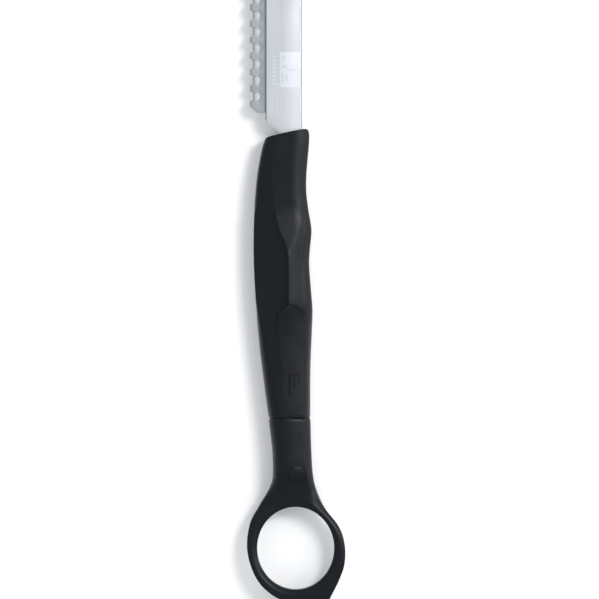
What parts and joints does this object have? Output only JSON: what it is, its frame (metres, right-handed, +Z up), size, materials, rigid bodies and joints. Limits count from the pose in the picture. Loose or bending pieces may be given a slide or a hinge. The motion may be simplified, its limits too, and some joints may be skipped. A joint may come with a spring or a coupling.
{
  "type": "styling razor",
  "caption": "Hairdresser's styling razor: guarded slide-in blade in a folded steel carrier, contoured black handle, and a finger ring with a rest that swivels on the handle's end.",
  "frame": {"origin": "middle of the tool's footprint, on the surface that the handle's flat back lies on", "axes": "+Y along the tool towards the blade's tip, +Z up out of the surface, +X to the spine side of the blade carrier"},
  "size_m": [0.0292, 0.2268, 0.0129],
  "materials": {
    "handle_plastic": "black moulded plastic, satin",
    "inlay_rubber": "black grip inlay, slightly softer sheen than the shells",
    "carrier_steel": "satin stainless sheet, brushed along its length",
    "guard_steel": "grey matt stainless sheet",
    "blade_steel": "bright ground steel",
    "plain_steel": "plain steel",
    "bronze": "sintered bronze",
    "nylon": "natural nylon"
  },
  "bodies": {
    "handle": {"handle_front_shell": "handle_plastic", "handle_rear_shell": "handle_plastic", "grip_inlay_front": "inlay_rubber", "grip_inlay_rear": "inlay_rubber", "carrier_channel": "carrier_steel", "carrier_core": "plain_steel", "blade_spring": "plain_steel", "axle_bush_lower": "bronze", "axle_bush_upper": "bronze", "shell_screw_1": "plain_steel", "shell_screw_2": "plain_steel", "shell_screw_3": "plain_steel"},
    "ring": {"finger_ring": "handle_plastic", "ring_cross_pin": "handle_plastic", "swivel_axle": "plain_steel", "axle_clip": "plain_steel", "wave_washer": "plain_steel", "thrust_washer": "nylon"},
    "guard": {"comb_guard": "guard_steel"},
    "blade": {"razor_blade": "blade_steel"}
  },
  "joints": [
    {"name": "ring_swivel", "type": "hinge", "parent": "handle", "child": "ring", "pos_m": [-0.00192, -0.04761, 0.0063], "axis": [0, 1, 0], "continuous": true},
    {"name": "guard_slide", "type": "slide", "parent": "handle", "child": "guard", "axis": [0, 1, 0], "range_m": [0, 0.07]},
    {"name": "blade_slide", "type": "slide", "parent": "handle", "child": "blade", "axis": [0, 1, 0], "range_m": [0, 0.067]}
  ]
}
